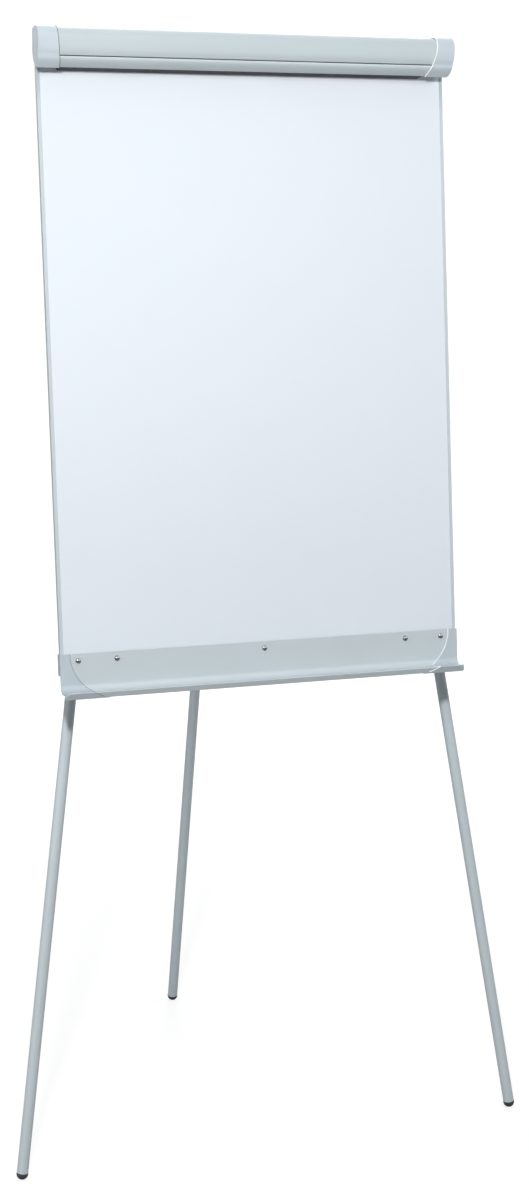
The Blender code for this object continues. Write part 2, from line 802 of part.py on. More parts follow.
def build_collar(leg, side, plastic):
    """Clamp collar on the outer tube's end, with a boss for the clamp screw."""
    name = f"leg_collar_{side}"
    top, bottom = -(OUTER_TUBE_END - 0.024), -(OUTER_TUBE_END + 0.022)
    step = -(OUTER_TUBE_END + GAP)
    screw_z = -(OUTER_TUBE_END + 0.011)
    profile = [
        (0.0098, bottom),
        (0.0140, bottom),
        (0.0150, bottom + 0.0015),
        (0.0150, top - 0.0015),
        (0.0140, top),
        (OUTER_TUBE_RADIUS + GAP, top),
        (OUTER_TUBE_RADIUS + GAP, step),
        (0.0098, step),
    ]
    collar = add_object(name, lathe(name, profile, ring=True), plastic, leg, 30)
    boss = cylinder(f"{name}_boss", 0.0085, 0.0115, 0.0240, "Y", (0, 0, screw_z), 20)
    boolean(collar, boss, "UNION")
    bore = cylinder(f"{name}_bore", PIN_HOLE, 0.005, 0.03, "Y", (0, 0, screw_z), 16)
    boolean(collar, bore)
    flat = block(f"{name}_flat", (-0.03, -0.03, bottom - 0.01), (0.03, -0.0136, top + 0.01))
    boolean(collar, flat)


def build_knob(leg, side, plastic, steel):
    """Lobed clamp knob and its screw; both turn about the screw's axis."""
    centre = (0, 0, -(OUTER_TUBE_END + 0.011))
    base, top = 0.0243, 0.0395
    lobes = []
    count = 60
    for i in range(count):
        angle = 2 * math.pi * i / count
        radius = 0.0140 + 0.0014 * math.cos(5 * angle)
        lobes.append((radius * math.cos(angle), radius * math.sin(angle)))
    knob = add_object(
        f"knob_{side}", prism(f"knob_{side}", lobes, "Y", base + 0.003, top), plastic, leg, 30
    )
    knob.location = centre
    bevel(knob, 0.0012, 2, 50)
    hub = cylinder(f"knob_{side}_hub", 0.0085, base, base + 0.004, "Y", (0, 0, 0), 20)
    boolean(knob, hub, "UNION", location=centre)
    bore = cylinder(f"knob_{side}_bore", PIN_HOLE, base - 0.002, base + 0.0083, "Y", (0, 0, 0), 16)
    boolean(knob, bore, location=centre)
    tip = LOWER_TUBE_RADIUS + GAP
    stud = cylinder(f"knob_screw_{side}", PIN_RADIUS, tip, base + 0.008, "Y", (0, 0, 0), 20)
    add_object(f"knob_screw_{side}", stud, steel, leg, 30).location = centre


def build_outer_tube(leg, side, paint, axis):
    """Outer tube, drilled along the given axis for its pivot."""
    top = 0.0180 if axis == "Y" else 0.0095
    name = f"leg_tube_{side}"
    mesh = pipe(name, OUTER_TUBE_RADIUS, OUTER_TUBE_BORE, -OUTER_TUBE_END, top)
    tube = add_object(name, mesh, paint, leg, 30)
    boolean(tube, cylinder(f"{name}_hole", PIN_HOLE, -0.02, 0.02, axis, (0, 0, 0), 16))
    return tube


def build_tube_plug(leg, side, plastic):
    """Plug that closes the top of a front leg's outer tube."""
    top = 0.0180 + GAP
    stem = OUTER_TUBE_BORE - GAP
    profile = [(0, 0.0060), (stem - 0.0006, 0.0060), (stem - 0.0001, 0.0070), (stem - 0.0001, top)]
    profile += [(OUTER_TUBE_RADIUS, top), (OUTER_TUBE_RADIUS, top + 0.0015)]
    profile += [(OUTER_TUBE_RADIUS - 0.0015, top + 0.0030), (0, top + 0.0030)]
    add_object(f"leg_plug_{side}", lathe(f"leg_plug_{side}", profile), plastic, leg, 30)


def build_lower_leg(leg, side, length, paint, plastic, rubber, floor):
    """Inner tube with the glide on its upper end and the rubber foot on its lower end."""
    top = -LOWER_TUBE_START
    foot_shoulder = -length + 0.0010
    mesh = pipe(
        f"lower_tube_{side}",
        LOWER_TUBE_RADIUS,
        LOWER_TUBE_BORE,
        foot_shoulder + GAP,
        top,
    )
    add_object(f"lower_tube_{side}", mesh, paint, leg, 30)
    stem = LOWER_TUBE_BORE - GAP
    rim = OUTER_TUBE_BORE - 0.0002
    profile = [(0, top - 0.012), (stem, top - 0.012), (stem, top + GAP), (rim, top + GAP)]
    profile += [(rim, top + 0.012), (rim - 0.002, top + 0.014), (0, top + 0.014)]
    add_object(f"tube_glide_{side}", lathe(f"tube_glide_{side}", profile), plastic, leg, 30)
    profile = [(0, -length - FOOT_RADIUS)]
    for i in range(1, 9):
        angle = math.radians(90 * i / 8)
        profile.append(
            (FOOT_RADIUS * math.sin(angle), -length - FOOT_RADIUS * math.cos(angle))
        )
    profile += [(FOOT_RADIUS, foot_shoulder), (stem, foot_shoulder)]
    profile += [(stem, foot_shoulder + 0.022), (stem - 0.001, foot_shoulder + 0.024)]
    profile.append((0, foot_shoulder + 0.024))
    foot = add_object(f"foot_{side}", lathe(f"foot_{side}", profile), rubber, leg, 30)
    cut = foot.modifiers.new("Floor", "BOOLEAN")
    cut.operation = "DIFFERENCE"
    cut.solver = "EXACT"
    cut.object = floor


def build_rear_head(leg, plastic):
    """Block on the rear leg's top end that turns on the hinge pin."""
    body = block("rear_leg_head", (-0.0142, -0.0130, -0.030), (0.0142, 0.0130, 0.0150))
    head = add_object("rear_leg_head", body, plastic, leg)
    bore = cylinder("rear_head_bore", OUTER_TUBE_RADIUS + GAP, -0.04, 0.0100)
    boolean(head, bore)
    boolean(head, cylinder("rear_head_hole", PIN_HOLE, -0.02, 0.02, "X", (0, 0, 0), 16))


def main():
    clear_scene()
    frame_paint = make_material("frame_paint", (0.62, 0.66, 0.67), 0.35, 0.2)
    tube_paint = make_material("tube_paint", (0.46, 0.50, 0.51), 0.35, 0.2)
    lacquer = make_material("writing_lacquer", (0.88, 0.91, 0.94), 0.12)
    core_board = make_material("core_board", (0.50, 0.42, 0.32), 0.9)
    back_paint = make_material("back_paint", (0.55, 0.58, 0.60), 0.5)
    cover_plastic = make_material("cover_plastic", (0.64, 0.69, 0.72), 0.4)
    dark_plastic = make_material("dark_plastic", (0.05, 0.05, 0.055), 0.45)
    rubber = make_material("rubber", (0.035, 0.037, 0.04), 0.8)
    chrome = make_material("chrome", (0.80, 0.80, 0.82), 0.12, 1.0)
    steel = make_material("steel", (0.55, 0.56, 0.58), 0.3, 1.0)
    bracket_metal = make_material("bracket_metal", (0.45, 0.47, 0.49), 0.4, 0.6)

    sine, cosine = math.sin(BOARD_LEAN), math.cos(BOARD_LEAN)
    front_centre_s = (FOOT_CENTRE_HEIGHT + LEG_DEPTH * sine) / cosine
    front_length = (LEG_PIVOT_Z - front_centre_s) / math.cos(LEG_SPLAY)
    front_y = LEG_DEPTH * cosine + front_centre_s * sine
    rear_lean = REAR_OPEN - BOARD_LEAN
    rear_pivot_y = REAR_PIVOT_DEPTH * cosine + LEG_PIVOT_Z * sine
    rear_pivot_z = LEG_PIVOT_Z * cosine - REAR_PIVOT_DEPTH * sine
    rear_length = (rear_pivot_z - FOOT_CENTRE_HEIGHT) / math.cos(rear_lean)
    rear_y = rear_pivot_y + rear_length * math.sin(rear_lean)
    middle_y = (front_y + rear_y) / 2

    board = make_empty("board_frame", (0, -middle_y, 0), (-BOARD_LEAN, 0, 0))
    floor = add_object("floor_level", block("floor_level", (-0.8, -0.8, -0.1), (0.8, 0.8, 0)), None)
    floor.hide_render = True
    floor.display_type = "WIRE"

    build_board(board, frame_paint, lacquer, core_board, back_paint)
    build_tray(board, frame_paint, cover_plastic, chrome)
    build_clamp(board, frame_paint, cover_plastic, rubber, bracket_metal, steel)
    build_crosshead(board, bracket_metal, steel, rubber)

    for side, sign in (("left", -1), ("right", 1)):
        build_leg_guide(board, side, bracket_metal)
        pivot = (sign * LEG_PIVOT_X, LEG_DEPTH, LEG_PIVOT_Z)
        leg = make_empty(f"leg_axis_{side}", pivot, (0, -sign * LEG_SPLAY, 0), board)
        build_outer_tube(leg, side, tube_paint, "Y")
        build_tube_plug(leg, side, dark_plastic)
        build_collar(leg, side, dark_plastic)
        build_knob(leg, side, dark_plastic, steel)
        build_lower_leg(leg, side, front_length, tube_paint, dark_plastic, rubber, floor)

    pivot = (0, REAR_PIVOT_DEPTH, LEG_PIVOT_Z)
    rear = make_empty("leg_axis_rear", pivot, (REAR_OPEN, 0, 0), board)
    build_outer_tube(rear, "rear", tube_paint, "X")
    build_rear_head(rear, dark_plastic)
    build_collar(rear, "rear", dark_plastic)
    build_knob(rear, "rear", dark_plastic, steel)
    build_lower_leg(rear, "rear", rear_length, tube_paint, dark_plastic, rubber, floor)


main()
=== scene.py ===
"""Looks for the flipchart easel: finishes, fine parts, light and camera round the CAD frame."""

import json
import math

import bmesh
import bpy
from mathutils import Matrix, Vector

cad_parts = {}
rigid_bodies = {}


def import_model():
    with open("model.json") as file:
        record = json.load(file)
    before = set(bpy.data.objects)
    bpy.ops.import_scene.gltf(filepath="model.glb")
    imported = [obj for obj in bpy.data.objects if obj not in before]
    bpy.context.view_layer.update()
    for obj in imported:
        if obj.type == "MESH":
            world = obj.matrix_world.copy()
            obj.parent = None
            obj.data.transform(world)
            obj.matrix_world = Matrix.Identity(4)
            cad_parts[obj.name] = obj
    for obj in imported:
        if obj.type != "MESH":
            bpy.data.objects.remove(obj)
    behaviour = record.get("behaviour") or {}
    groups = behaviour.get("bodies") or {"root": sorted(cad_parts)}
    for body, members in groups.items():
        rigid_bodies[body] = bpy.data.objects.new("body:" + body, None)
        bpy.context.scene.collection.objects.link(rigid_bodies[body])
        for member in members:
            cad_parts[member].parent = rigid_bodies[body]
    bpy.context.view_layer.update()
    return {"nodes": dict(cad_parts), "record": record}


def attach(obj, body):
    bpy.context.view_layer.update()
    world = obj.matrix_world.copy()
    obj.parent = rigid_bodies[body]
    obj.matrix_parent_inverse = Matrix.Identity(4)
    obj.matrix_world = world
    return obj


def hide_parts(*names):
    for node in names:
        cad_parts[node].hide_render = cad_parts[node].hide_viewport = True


for leftover in list(bpy.data.objects):
    bpy.data.objects.remove(leftover)

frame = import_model()
NODES = frame["nodes"]
BODY_OF = {
    node: body
    for body, nodes in frame["record"]["behaviour"]["bodies"].items()
    for node in nodes
}
SLOT_OF = {part["node"]: part["material_slot"] for part in frame["record"]["subparts"]}
LEAN = math.radians(7.0)
BOARD_ORIGIN_Y = -0.352629
WELD_DISTANCE = 0.00001


# Materials


class Nodes:
    """Short-hand for building one material's node tree."""

    def __init__(self, name):
        self.material = bpy.data.materials.new(name)
        self.material.use_nodes = True
        self.tree = self.material.node_tree
        self.shader = self.tree.nodes["Principled BSDF"]
        self.coordinates = self.tree.nodes.new("ShaderNodeTexCoord").outputs["Object"]

    def add(self, kind, inputs=None, **settings):
        node = self.tree.nodes.new(kind)
        for key, value in settings.items():
            setattr(node, key, value)
        for key, value in (inputs or {}).items():
            if isinstance(value, bpy.types.NodeSocket):
                self.tree.links.new(value, node.inputs[key])
            else:
                node.inputs[key].default_value = value
        return node

    def place(self, scale, turn=(0.0, 0.0, 0.0)):
        """Object coordinates, turned and then scaled per axis."""
        mapping = self.add(
            "ShaderNodeMapping",
            {"Vector": self.coordinates, "Rotation": turn, "Scale": scale},
        )
        return mapping.outputs["Vector"]

    def noise(self, vector, scale, detail=3.0, roughness=0.5):
        node = self.add(
            "ShaderNodeTexNoise",
            {"Vector": vector, "Scale": scale, "Detail": detail, "Roughness": roughness},
        )
        return node.outputs["Fac"]

    def spread(self, value, low, high, start=0.3, end=0.7):
        """Maps a noise value onto the range low to high."""
        node = self.add(
            "ShaderNodeMapRange",
            {"Value": value, "From Min": start, "From Max": end, "To Min": low, "To Max": high},
        )
        return node.outputs["Result"]

    def tint(self, factor, dark, light):
        node = self.add("ShaderNodeMix", {"Factor": factor}, data_type="RGBA")
        node.inputs["A"].default_value = (*dark, 1.0)
        node.inputs["B"].default_value = (*light, 1.0)
        return node.outputs["Result"]

    def bump(self, height, distance, strength=1.0, normal=None):
        inputs = {"Height": height, "Distance": distance, "Strength": strength}
        if normal is not None:
            inputs["Normal"] = normal
        return self.add("ShaderNodeBump", inputs).outputs["Normal"]

    def finish(self, colour, roughness, normal=None, **values):
        for key, source in (("Base Color", colour), ("Roughness", roughness), ("Normal", normal)):
            if source is not None:
                self.tree.links.new(source, self.shader.inputs[key])
        for key, value in values.items():
            self.shader.inputs[key.replace("_", " ")].default_value = value
        return self.material


def shade(colour, factor):
    return tuple(channel * factor for channel in colour)


def lacquered_steel(name, colour):
    """Gloss white enamel with a faint orange peel, a faintly clouded tone and wiping marks."""
    n = Nodes(name)
    cloud = n.noise(n.place((1, 1, 1)), 3.0, 4)
    wiped = n.noise(n.place((2.2, 2.2, 9.0), (0.0, math.radians(28), 0.0)), 6.0, 5)
    peel = n.noise(n.place((1, 1, 1)), 420.0, 2)
    tone = n.tint(n.spread(cloud, 0, 1), shade(colour, 0.985), colour)
    return n.finish(
        tone,
        n.spread(wiped, 0.16, 0.24),
        n.bump(peel, 0.00002, 0.5),
        Specular_IOR_Level=0.5,
        Coat_Weight=0.25,
        Coat_Roughness=0.08,
    )


def coated_metal(name, colour, roughness, stretch):
    """Satin coated extrusion: fine lines along its length under a faintly grained coat."""
    n = Nodes(name)
    lines = n.noise(n.place(stretch), 40.0, 3)
    cloud = n.noise(n.place((1, 1, 1)), 9.0, 3)
    grain = n.noise(n.place((1, 1, 1)), 2600.0, 2)
    tone = n.tint(n.spread(cloud, 0, 1), shade(colour, 0.965), colour)
    tone = n.add(
        "ShaderNodeMix",
        {"Factor": n.spread(lines, 0.0, 0.35), "A": tone, "B": (*shade(colour, 1.04), 1.0)},
        data_type="RGBA",
    ).outputs["Result"]
    fine = n.bump(grain, 0.00003, 0.35)
    return n.finish(
        tone,
        n.spread(lines, roughness - 0.05, roughness + 0.05),
        n.bump(lines, 0.000018, 0.25, fine),
        Specular_IOR_Level=0.5,
    )


def moulded_plastic(name, colour, roughness, grain_scale=1400.0, depth=0.00005):
    """Moulded plastic with a spark-eroded grain and faint flow marks."""
    n = Nodes(name)
    flow = n.noise(n.place((1.0, 1.0, 2.5)), 14.0, 3)
    grain = n.noise(n.place((1, 1, 1)), grain_scale, 3, 0.6)
    tone = n.tint(n.spread(flow, 0, 1), shade(colour, 0.96), shade(colour, 1.02))
    return n.finish(
        tone, n.spread(grain, roughness - 0.06, roughness + 0.06), n.bump(grain, depth, 0.4)
    )


def dark_rubber(name, colour):
    """Matt rubber with a dusty bloom on it."""
    n = Nodes(name)
    bloom = n.noise(n.place((1, 1, 1)), 120.0, 5, 0.65)
    grain = n.noise(n.place((1, 1, 1)), 3000.0, 2)
    tone = n.tint(n.spread(bloom, 0, 1), colour, shade(colour, 1.7))
    return n.finish(tone, n.spread(bloom, 0.62, 0.85), n.bump(grain, 0.00006, 0.5))


def plated_steel(name, colour, roughness, brushed=(1, 1, 1)):
    """Plated steel with fine scratches and a slightly patchy sheen."""
    n = Nodes(name)
    patch = n.noise(n.place((1, 1, 1)), 60.0, 4)
    scratch = n.noise(n.place(brushed), 900.0, 3)
    tone = n.tint(n.spread(patch, 0, 1), shade(colour, 0.9), colour)
    return n.finish(
        tone,
        n.spread(patch, roughness * 0.75, roughness * 1.35),
        n.bump(scratch, 0.00002, 0.3),
        Metallic=1.0,
    )


def zinc_sheet(name, colour):
    """Galvanised sheet: crystal spangles of slightly different tone and sheen."""
    n = Nodes(name)
    warp = n.noise(n.place((1, 1, 1)), 90.0, 2)
    cell = n.add(
        "ShaderNodeTexVoronoi", {"Vector": n.place((1, 1, 1)), "Scale": 160.0, "Randomness": 1.0}
    )
    value = n.add("ShaderNodeSeparateColor", {"Color": cell.outputs["Color"]}).outputs["Red"]
    tone = n.tint(value, shade(colour, 0.86), shade(colour, 1.06))
    rough = n.spread(value, 0.30, 0.46, 0, 1)
    return n.finish(tone, rough, n.bump(warp, 0.00005, 0.3), Metallic=0.85)


def chipboard(name, colour):
    """Pressed wood chips, for the board's core."""
    n = Nodes(name)
    chips = n.add("ShaderNodeTexVoronoi", {"Vector": n.place((1, 1, 4)), "Scale": 380.0})
    value = n.add("ShaderNodeSeparateColor", {"Color": chips.outputs["Color"]}).outputs["Red"]
    tone = n.tint(value, shade(colour, 0.55), shade(colour, 1.2))
    return n.finish(tone, n.spread(value, 0.8, 0.95, 0, 1), n.bump(value, 0.0002, 0.4))


# Texture scales that draw fine lines out along x or z.
ALONG_X = (0.6, 60.0, 60.0)
ALONG_Z = (60.0, 60.0, 0.6)
LIGHT_GREY = (0.51, 0.57, 0.60)
MATERIALS = {
    "frame_paint": coated_metal("frame_paint_along", LIGHT_GREY, 0.34, ALONG_X),
    "writing_lacquer": lacquered_steel("writing_lacquer_gloss", (0.79, 0.85, 0.925)),
    "core_board": chipboard("core_board_chips", (0.45, 0.33, 0.20)),
    "back_paint": coated_metal("back_paint_rolled", (0.54, 0.575, 0.60), 0.5, ALONG_Z),
    "cover_plastic": moulded_plastic("cover_plastic_grain", (0.455, 0.515, 0.56), 0.36),
    "dark_plastic": moulded_plastic(
        "dark_plastic_grain", (0.022, 0.023, 0.025), 0.42, 900.0, 0.00012
    ),
    "rubber": dark_rubber("rubber_bloom", (0.020, 0.021, 0.024)),
    "chrome": plated_steel("chrome_bright", (0.24, 0.245, 0.255), 0.12),
    "steel": plated_steel("steel_zinc", (0.60, 0.61, 0.64), 0.28, (1, 6, 1)),
    "bracket_metal": zinc_sheet("bracket_zinc", (0.55, 0.57, 0.59)),
    "tube_paint": coated_metal("tube_paint_satin", (0.45, 0.51, 0.535), 0.33, ALONG_Z),
}
# Nodes whose finish differs from the rest of their slot.
OWN_FINISH = dict.fromkeys(
    ("frame_left", "frame_right"), coated_metal("frame_paint_upright", LIGHT_GREY, 0.34, ALONG_Z)
)
# The clamp bar takes the frame paint darkened to about 0.86: a shaded copy of one paint, painted
# shade so the bar reads darker than the tray.
OWN_FINISH["clamp_cover"] = coated_metal("bar_paint_shaded", (0.435, 0.493, 0.52), 0.34, ALONG_X)


# Pieces


def take(piece, body, slot, *replaced, material=None):
    """A finished piece rides on its body, stands for CAD nodes and takes its material."""
    piece.data.materials.clear()
    piece.data.materials.append(material or MATERIALS[slot])
    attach(piece, body)
    if replaced:
        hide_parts(*replaced)


def new_object(name, bm):
    mesh = bpy.data.meshes.new(name)
    bmesh.ops.recalc_face_normals(bm, faces=bm.faces)
    bm.to_mesh(mesh)
    bm.free()
    item = bpy.data.objects.new(name, mesh)
    bpy.context.scene.collection.objects.link(item)
    return item


def welded(node):
    """The CAD node's mesh with its doubled corners joined."""
    bm = bmesh.new()
    bm.from_mesh(NODES[node].data)
    bmesh.ops.remove_doubles(bm, verts=bm.verts, dist=WELD_DISTANCE)
    return bm


def soften(item, width):
    """Rounds the sharp edges and shades the rest smooth."""
    item.data.shade_smooth()
    modifier = item.modifiers.new("Edge", "BEVEL")
    modifier.width = width
    modifier.segments = 2
    modifier.limit_method = "ANGLE"
    modifier.angle_limit = math.radians(32.0)
    modifier.harden_normals = True


def refine(node, width, material):
    """A finished copy of a CAD node: welded, its flat faces joined, its edges rounded."""
    bm = welded(node)
    bmesh.ops.dissolve_limit(
        bm, angle_limit=math.radians(0.4), verts=bm.verts, edges=bm.edges, delimit=set()
    )
    item = new_object(f"{node}_finished", bm)
    for attribute in list(item.data.attributes):
        if not attribute.is_required and not attribute.is_internal:
            item.data.attributes.remove(attribute)
    soften(item, width)
    take(item, BODY_OF[node], SLOT_OF[node], node, material=material)


# Edge radii that differ from the usual one, in metres.
USUAL_ROUNDING = 0.0002
ROUNDED = {
    "clamp_cover": 0.0003,
    "clamp_cap_left": 0.0007,
    "clamp_cap_right": 0.0007,
    "jaw_strip": 0.0004,
    "pen_tray": 0.0003,
    "tray_cover_left": 0.0006,
    "tray_cover_right": 0.0006,
    "rear_leg_head": 0.0012,
    "rear_stop_pad": 0.0008,
    "leg_crosshead": 0.0005,
    "rear_leg_bracket": 0.0005,
    "leg_guide_left": 0.0004,
    "leg_guide_right": 0.0004,
}
for node in sorted(NODES):
    refine(node, ROUNDED.get(node, USUAL_ROUNDING), OWN_FINISH.get(node))


# The clamp bar's long groove, in the board's own frame: its height, and how far in front of the
# board its faces lie at least. The bands of height below it are relative to the groove; faces in
# the floor band get painted shade, faces in the shoulder band a painted highlight.
GROOVE_HEIGHT = 1.8305
GROOVE_SKIN_DEPTH = -0.0405
GROOVE_FLOOR_BAND = (-0.0017, -0.0002)
GROOVE_SHOULDER_BAND = (-0.0036, -0.0017)


def paint_groove_light(piece):
    """Painted shade on the floor of the clamp bar's long groove, and a painted highlight on the
    shoulder just below it.
    """
    # Material 1 is painted shade for the groove floor; material 2, a paler copy of the bar paint,
    # is a painted highlight on the shoulder.
    piece.data.materials.append(dark_rubber("groove_shadow", (0.030, 0.033, 0.036)))
    piece.data.materials.append(
        coated_metal("bar_shoulder_painted_highlight", (0.66, 0.72, 0.74), 0.28, ALONG_X)
    )
    for face in piece.data.polygons:
        forward = face.center.y - BOARD_ORIGIN_Y
        height = forward * math.sin(LEAN) + face.center.z * math.cos(LEAN) - GROOVE_HEIGHT
        depth = forward * math.cos(LEAN) - face.center.z * math.sin(LEAN)
        if depth >= GROOVE_SKIN_DEPTH:
            continue
        if GROOVE_FLOOR_BAND[0] < height < GROOVE_FLOOR_BAND[1]:
            face.material_index = 1
        elif GROOVE_SHOULDER_BAND[0] < height <= GROOVE_SHOULDER_BAND[1]:
            face.material_index = 2


paint_groove_light(bpy.data.objects["clamp_cover_finished"])


def seam_line(node, outermost, side):
    """Points along the edge where an end cover meets the long part.

    The seam wall faces inwards, square to the board's depth; the edge wanted is the one it
    shares with the cover's outer skin, no further out than outermost. side is 1 for a cover on
    the right and -1 for one on the left.
    """
    depth = Vector((0.0, math.cos(LEAN), -math.sin(LEAN)))
    up = Vector((0.0, math.sin(LEAN), math.cos(LEAN)))
    towards_viewer = 0.3 * up - depth
    bm = welded(node)
    bm.normal_update()
    neighbours = {}
    for edge in bm.edges:
        if len(edge.link_faces) != 2 or max(side * v.co.x for v in edge.verts) > outermost:
            continue
        for wall, skin in (edge.link_faces, reversed(edge.link_faces)):
            is_wall = side * wall.normal.x < -0.3 and abs(wall.normal.dot(depth)) < 0.05
            is_skin = abs(skin.normal.x) < 0.08 and skin.normal.dot(towards_viewer) > -0.05
            if is_wall and is_skin:
                a, b = (tuple(round(c, 6) for c in v.co) for v in edge.verts)
                neighbours.setdefault(a, set()).add(b)
                neighbours.setdefault(b, set()).add(a)
    bm.free()
    start = max(neighbours, key=lambda point: (len(neighbours[point]) == 1, point[2]))
    line, seen = [start], {start}
    while True:
        ahead = [q for q in sorted(neighbours[line[-1]]) if q not in seen]
        if not ahead:
            return [Vector(point) for point in line]
        line.append(ahead[0])
        seen.add(ahead[0])


def bead(name, line, radius):
    """Bead of eight sides swept along a line of points, with flat ends."""
    sides = 8
    bm = bmesh.new()
    rings = []
    for i, point in enumerate(line):
        along = (line[min(i + 1, len(line) - 1)] - line[max(i - 1, 0)]).normalized()
        across = along.cross(Vector((0.3, -0.9, 0.2))).normalized()
        normal = across.cross(along)
        ring = []
        for k in range(sides):
            angle = 2 * math.pi * k / sides
            ring.append(
                bm.verts.new(point + radius * (math.cos(angle) * across + math.sin(angle) * normal))
            )
        rings.append(ring)
    for low, high in zip(rings, rings[1:]):
        for k in range(sides):
            bm.faces.new((low[k], low[(k + 1) % sides], high[(k + 1) % sides], high[k]))
    bm.faces.new(rings[0])
    bm.faces.new(rings[-1])
    item = new_object(name, bm)
    item.data.shade_smooth()
    item.data.set_sharp_from_angle(angle=math.radians(50))
    return item


# Pale bead: a painted highlight along the right-hand seams.
SEAM_PAINTED_HIGHLIGHT = moulded_plastic("seam_painted_highlight", (0.88, 0.92, 0.95), 0.2, 1400.0, 0.00002)
# Dark bead: a painted shade line in the left-hand seams.
SEAM_PAINTED_SHADE = moulded_plastic("seam_painted_shade", (0.10, 0.115, 0.125), 0.5, 1400.0, 0.00002)
# End cover, furthest out that its seam runs, side, radius of the bead, painted light of the bead.
SEAMS = (
    ("clamp_cap_right", 0.334, 1, 0.0009, SEAM_PAINTED_HIGHLIGHT),
    ("clamp_cap_left", 0.334, -1, 0.0005, SEAM_PAINTED_SHADE),
    ("tray_cover_right", 0.343, 1, 0.0009, SEAM_PAINTED_HIGHLIGHT),
    ("tray_cover_left", 0.343, -1, 0.0003, SEAM_PAINTED_SHADE),
)
for node, outermost, side, radius, painted_light in SEAMS:
    rim = bead(f"{node}_lip", seam_line(node, outermost, side), radius)
    take(rim, BODY_OF[node], SLOT_OF[node], material=painted_light)


# Stage, light and camera


def build_stage():
    """Pale paper floor, wide enough to run into the backdrop without a visible join.

    It glows a little for the camera, more so with distance, and is a mid grey to all other rays.
    """
    bm = bmesh.new()
    bmesh.ops.create_circle(bm, cap_ends=True, cap_tris=True, segments=96, radius=60.0)
    floor = new_object("studio_floor", bm)
    n = Nodes("studio_floor_paper")
    paper = n.noise(n.place((1, 1, 1)), 300.0, 3)
    n.finish(
        n.tint(n.spread(paper, 0, 1), (0.38, 0.38, 0.38), (0.42, 0.42, 0.42)),
        n.spread(paper, 0.85, 0.95),
    )
    distance = n.add("ShaderNodeVectorMath", {0: n.coordinates}, operation="LENGTH")
    glow = n.spread(distance.outputs["Value"], 0.80, 1.0, 1.0, 4.0)
    shown = n.add("ShaderNodeAddShader")
    n.tree.links.new(
        n.add("ShaderNodeEmission", {"Strength": glow}).outputs["Emission"], shown.inputs[0]
    )
    faint = n.add("ShaderNodeBsdfDiffuse", {"Color": (0.22, 0.22, 0.22, 1.0)})
    n.tree.links.new(faint.outputs["BSDF"], shown.inputs[1])
    seen = n.add("ShaderNodeLightPath").outputs["Is Camera Ray"]
    mix = n.add("ShaderNodeMixShader", {0: seen})
    n.tree.links.new(n.shader.outputs["BSDF"], mix.inputs[1])
    n.tree.links.new(shown.outputs["Shader"], mix.inputs[2])
    n.tree.links.new(mix.outputs["Shader"], n.tree.nodes["Material Output"].inputs["Surface"])
    floor.data.materials.append(n.material)


def sky(tree, colour, stops):
    """Background whose strength follows the height of the direction looked in."""
    background = tree.nodes.new("ShaderNodeBackground")
    background.inputs["Color"].default_value = (*colour, 1.0)
    direction = tree.nodes.new("ShaderNodeTexCoord")
    height = tree.nodes.new("ShaderNodeSeparateXYZ")
    ramp = tree.nodes.new("ShaderNodeFloatCurve")
    curve = ramp.mapping.curves[0]
    half = [((z + 1) / 2, strength / SKY_PEAK) for z, strength in stops]
    curve.points[0].location, curve.points[1].location = half[0], half[-1]
    for point in half[1:-1]:
        curve.points.new(*point)
    ramp.mapping.update()
    shift = tree.nodes.new("ShaderNodeMath")
    shift.operation = "MULTIPLY_ADD"
    shift.inputs[1].default_value = 0.5
    shift.inputs[2].default_value = 0.5
    gain = tree.nodes.new("ShaderNodeMath")
    gain.operation = "MULTIPLY"
    gain.inputs[1].default_value = SKY_PEAK
    tree.links.new(direction.outputs["Generated"], height.inputs["Vector"])
    tree.links.new(height.outputs["Z"], shift.inputs[0])
    tree.links.new(shift.outputs["Value"], ramp.inputs["Value"])
    tree.links.new(ramp.outputs["Value"], gain.inputs[0])
    tree.links.new(gain.outputs["Value"], background.inputs["Strength"])
    return background.outputs["Background"]


def build_world():
    """White studio surround: plain white to the eye, a soft overhead fill as a light, and a
    bright band above the horizon in reflections, like a ceiling softbox."""
    world = bpy.data.worlds.new("studio")
    bpy.context.scene.world = world
    world.use_nodes = True
    tree = world.node_tree
    tree.nodes.clear()
    output = tree.nodes.new("ShaderNodeOutputWorld")
    shown = tree.nodes.new("ShaderNodeBackground")
    shown.inputs["Color"].default_value = (1.0, 1.0, 1.0, 1.0)
    shown.inputs["Strength"].default_value = 1.05
    path = tree.nodes.new("ShaderNodeLightPath")
    last = sky(tree, (0.93, 0.97, 1.0), FILL_SKY)
    mirrored = sky(tree, (0.95, 0.98, 1.0), MIRRORED_SKY)
    for ray, seen in (("Is Glossy Ray", mirrored), ("Is Camera Ray", shown.outputs[0])):
        mix = tree.nodes.new("ShaderNodeMixShader")
        tree.links.new(path.outputs[ray], mix.inputs["Fac"])
        tree.links.new(last, mix.inputs[1])
        tree.links.new(seen, mix.inputs[2])
        last = mix.outputs["Shader"]
    tree.links.new(last, output.inputs["Surface"])


def area_light(name, location, target, size, power, colour, mirrored):
    """Round softbox aimed at a point, and seen in glossy surfaces only if mirrored is true."""
    data = bpy.data.lights.new(name, "AREA")
    data.shape = "DISK"
    data.size = size
    data.energy = power
    data.color = colour
    lamp = bpy.data.objects.new(name, data)
    bpy.context.scene.collection.objects.link(lamp)
    lamp.location = location
    lamp.visible_glossy = mirrored
    aim = Vector(target) - Vector(location)
    lamp.rotation_euler = aim.to_track_quat("-Z", "Y").to_euler()
    return lamp


def link_light(lamp, state, nodes):
    """Lets a lamp light only the pieces of these nodes (INCLUDE), or all but them (EXCLUDE)."""
    lit = bpy.data.collections.new(f"{lamp.name}_receivers")
    for node in nodes:
        lit.objects.link(bpy.data.objects[f"{node}_finished"])
    lamp.light_linking.receiver_collection = lit
    for entry in lit.collection_objects:
        entry.light_linking.link_state = state


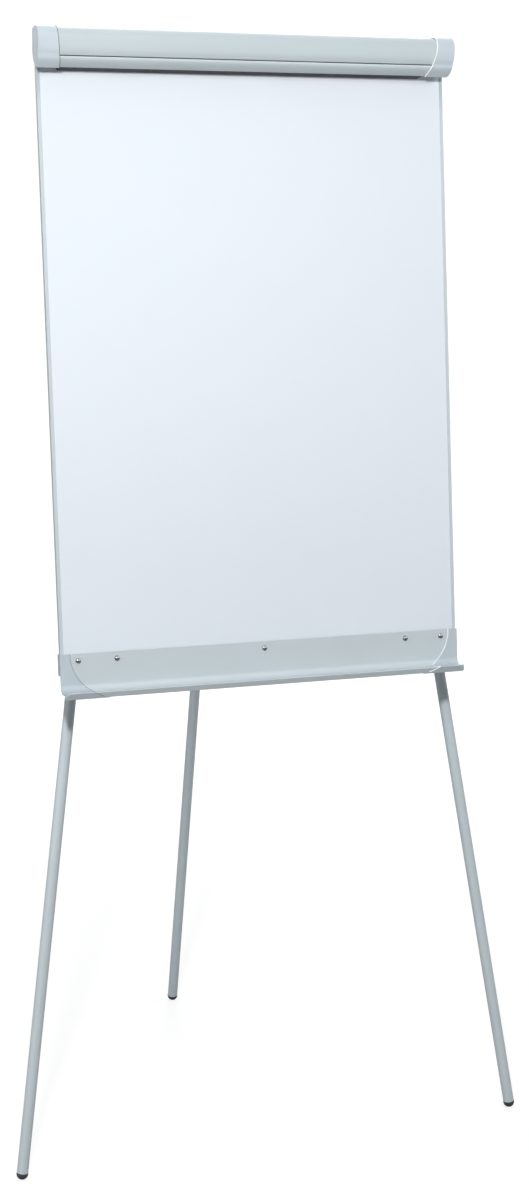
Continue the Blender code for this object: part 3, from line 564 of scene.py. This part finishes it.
def build_camera():
    """Camera low and to the left of the easel, turned and dipped towards it."""
    yaw, pitch, roll = (math.radians(v) for v in (18.5195, 11.6507, -0.3672))
    ahead = Vector(
        (math.sin(yaw) * math.cos(pitch), math.cos(yaw) * math.cos(pitch), -math.sin(pitch))
    )
    right = Vector((math.cos(yaw), -math.sin(yaw), 0.0))
    down = ahead.cross(right)
    turned_right = math.cos(roll) * right + math.sin(roll) * down
    turned_down = -math.sin(roll) * right + math.cos(roll) * down
    data = bpy.data.cameras.new("camera")
    data.sensor_width = 36.0
    data.lens = 60.343
    camera = bpy.data.objects.new("camera", data)
    bpy.context.scene.collection.objects.link(camera)
    matrix = Matrix((turned_right, -turned_down, -ahead)).transposed().to_4x4()
    matrix.translation = (-1.0485, -3.3781, 1.6228)
    camera.matrix_world = matrix
    bpy.context.scene.camera = camera


# Strength of the surround by the height of the direction looked in, from straight down (-1) to
# straight up (1); SKY_PEAK is the most that either may reach.
SKY_PEAK = 4.0
FILL_SKY = [(-1.0, 0.0), (0.0, 0.03), (0.5, 0.25), (1.0, 0.5)]
MIRRORED_SKY = [(-1.0, 0.1), (-0.05, 0.15), (0.02, 0.3), (0.30, 3.4), (0.6, 2.0), (1.0, 1.2)]
build_stage()
build_world()

WHITE = (1.0, 1.0, 1.0)
WARM_WHITE = (1.0, 0.99, 0.97)
LOWER_TUBES = ("lower_tube_left", "lower_tube_right", "lower_tube_rear")
# Name, place, aim, diameter, watts, colour, seen in reflections, link state, linked nodes.
LAMPS = (
    ("key", (-1.25, -3.19, 2.32), (0.0, -0.14, 2.0), 0.24, 78.0, WARM_WHITE, True,
     "EXCLUDE", LOWER_TUBES),
    ("front_top", (0.0, -1.3, 3.4), (0.0, -0.1, 1.85), 0.8, 14.0, WHITE, False,
     "EXCLUDE", ("writing_sheet",)),
    ("right_fill", (1.6, -2.4, 1.2), (0.3, -0.2, 0.5), 0.8, 5.0, WHITE, False,
     "EXCLUDE", LOWER_TUBES),
    ("leg_fill", (-1.1, -2.8, 4.6), (0.0, -0.2, 0.5), 0.5, 250.0, WHITE, False,
     "INCLUDE", LOWER_TUBES),
    ("rear_leg_fill", (-0.3, -0.5, 0.1), (0.0, 0.3, 0.1), 0.3, 3.0, WHITE, False,
     "INCLUDE", ("lower_tube_rear",)),
    ("back_top", (0.0, 0.5, 4.0), (0.0, -0.1, 1.85), 1.2, 15.0, WHITE, False, None, ()),
    ("rear_fill", (1.2, 3.6, 2.2), (0.0, 0.0, 1.0), 1.5, 60.0, WHITE, False, None, ()),
    ("left_fill", (-3.4, -0.1, 1.5), (0.0, -0.2, 0.9), 1.0, 20.0, WHITE, False, None, ()),
    ("right_side_fill", (3.2, 0.3, 1.9), (0.0, -0.1, 1.2), 1.2, 24.0, WHITE, False, None, ()),
)
for *description, state, linked in LAMPS:
    lamp = area_light(*description)
    if linked:
        link_light(lamp, state, linked)
build_camera()
bpy.context.scene.view_settings.view_transform = "Standard"
